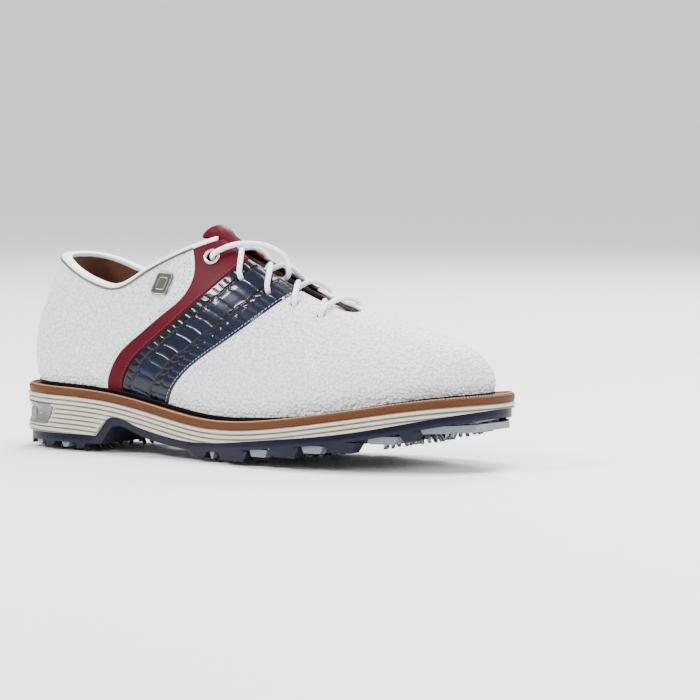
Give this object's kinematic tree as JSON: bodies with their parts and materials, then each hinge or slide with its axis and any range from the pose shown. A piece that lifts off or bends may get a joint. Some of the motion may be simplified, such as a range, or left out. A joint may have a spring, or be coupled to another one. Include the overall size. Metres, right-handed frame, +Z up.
{
  "type": "golf shoe",
  "caption": "Right lace-up golf shoe with a leather upper, saddle, ribbed midsole, welt, lugged outsole and twist-out cleats.",
  "frame": {"origin": "on the ground under the middle of the sole's bounding box", "axes": "+X to the toe, +Y to the medial (inner) side of the right foot, +Z up"},
  "size_m": [0.3018, 0.1082, 0.1241],
  "materials": {
    "outsole_navy": "satin",
    "insert_grey": "satin",
    "cleat_black": "satin",
    "cleat_smoke": "gloss",
    "receptacle": "matte",
    "midsole_cream": "matte",
    "clip_grey": "satin",
    "welt_brown": "matte",
    "board": "matte",
    "cork": "matte",
    "steel": "satin",
    "leather_white": "pebbled",
    "leather_red": "smooth",
    "leather_navy": "glossy embossed",
    "lining_tan": "matte",
    "stiffener": "matte",
    "foam": "matte",
    "binding_white": "smooth",
    "lace_white": "matte",
    "aglet": "gloss",
    "eyelet_metal": "polished",
    "badge_metal": "satin"
  },
  "bodies": {
    "shoe": {"outsole": "outsole_navy", "traction_inserts_heel": "insert_grey", "traction_inserts_forefoot": "insert_grey", "cleat_receptacles": "receptacle", "heel_clip": "clip_grey", "heel_clip_emblem": "clip_grey", "midsole": "midsole_cream", "welt": "welt_brown", "insole_board": "board", "forefoot_filler": "cork", "shank": "steel", "vamp": "leather_white", "saddle_lateral": "leather_navy", "trim_lateral": "leather_red", "quarter_lateral": "leather_white", "saddle_medial": "leather_navy", "trim_medial": "leather_red", "quarter_medial": "leather_white", "heel_counter": "stiffener", "toe_puff": "stiffener", "collar_padding_lateral": "foam", "collar_padding_medial": "foam", "vamp_lining": "lining_tan", "quarter_lining": "lining_tan", "topline_binding": "binding_white", "sockliner": "foam", "eyelet_rings": "eyelet_metal", "lace": "lace_white", "aglets": "aglet", "badge": "badge_metal"},
    "tongue": {"tongue_upper": "leather_red", "tongue_lower": "leather_navy", "tongue_foam": "foam", "tongue_lining": "lining_tan"},
    "cleat_front_lateral_1": {"cleat_front_lateral_1": "cleat_black"},
    "cleat_front_lateral_2": {"cleat_front_lateral_2": "cleat_black"},
    "cleat_front_lateral_3": {"cleat_front_lateral_3": "cleat_smoke"},
    "cleat_front_toe": {"cleat_front_toe": "cleat_smoke"},
    "cleat_front_medial_2": {"cleat_front_medial_2": "cleat_smoke"},
    "cleat_front_medial_1": {"cleat_front_medial_1": "cleat_black"},
    "cleat_heel_lateral_1": {"cleat_heel_lateral_1": "cleat_black"},
    "cleat_heel_lateral_2": {"cleat_heel_lateral_2": "cleat_black"},
    "cleat_heel_medial_2": {"cleat_heel_medial_2": "cleat_black"},
    "cleat_heel_medial_1": {"cleat_heel_medial_1": "cleat_black"}
  },
  "joints": [
    {"name": "cleat_front_lateral_1_twist", "type": "hinge", "parent": "shoe", "child": "cleat_front_lateral_1", "pos_m": [0.00641, -0.03002, 0.007], "axis": [0, 0, 1], "range_deg": [0, 90]},
    {"name": "cleat_front_lateral_2_twist", "type": "hinge", "parent": "shoe", "child": "cleat_front_lateral_2", "pos_m": [0.06841, -0.03402, 0.01308], "axis": [-0.1089, 0, 0.9941], "range_deg": [0, 90]},
    {"name": "cleat_front_lateral_3_twist", "type": "hinge", "parent": "shoe", "child": "cleat_front_lateral_3", "pos_m": [0.10841, -0.02102, 0.01921], "axis": [-0.1997, 0, 0.9799], "range_deg": [0, 90]},
    {"name": "cleat_front_toe_twist", "type": "hinge", "parent": "shoe", "child": "cleat_front_toe", "pos_m": [0.12441, 0.01298, 0.02257], "axis": [-0.2055, 0, 0.9787], "range_deg": [0, 90]},
    {"name": "cleat_front_medial_2_twist", "type": "hinge", "parent": "shoe", "child": "cleat_front_medial_2", "pos_m": [0.08641, 0.03398, 0.01532], "axis": [-0.1426, 0, 0.9898], "range_deg": [0, 90]},
    {"name": "cleat_front_medial_1_twist", "type": "hinge", "parent": "shoe", "child": "cleat_front_medial_1", "pos_m": [0.02041, 0.02598, 0.007], "axis": [0, 0, 1], "range_deg": [0, 90]},
    {"name": "cleat_heel_lateral_1_twist", "type": "hinge", "parent": "shoe", "child": "cleat_heel_lateral_1", "pos_m": [-0.12359, -0.01502, 0.007], "axis": [0, 0, 1], "range_deg": [0, 90]},
    {"name": "cleat_heel_lateral_2_twist", "type": "hinge", "parent": "shoe", "child": "cleat_heel_lateral_2", "pos_m": [-0.09859, -0.01952, 0.007], "axis": [0, 0, 1], "range_deg": [0, 90]},
    {"name": "cleat_heel_medial_2_twist", "type": "hinge", "parent": "shoe", "child": "cleat_heel_medial_2", "pos_m": [-0.09859, 0.01848, 0.007], "axis": [0, 0, 1], "range_deg": [0, 90]},
    {"name": "cleat_heel_medial_1_twist", "type": "hinge", "parent": "shoe", "child": "cleat_heel_medial_1", "pos_m": [-0.12359, 0.01498, 0.007], "axis": [0, 0, 1], "range_deg": [0, 90]},
    {"name": "tongue_flex", "type": "hinge", "parent": "shoe", "child": "tongue", "pos_m": [0.06187, -0.00293, 0.07514], "axis": [0, -1, 0], "range_deg": [0, 7.5], "stiffness_Nm_per_rad": 0.3, "springref_deg": -2.86}
  ]
}
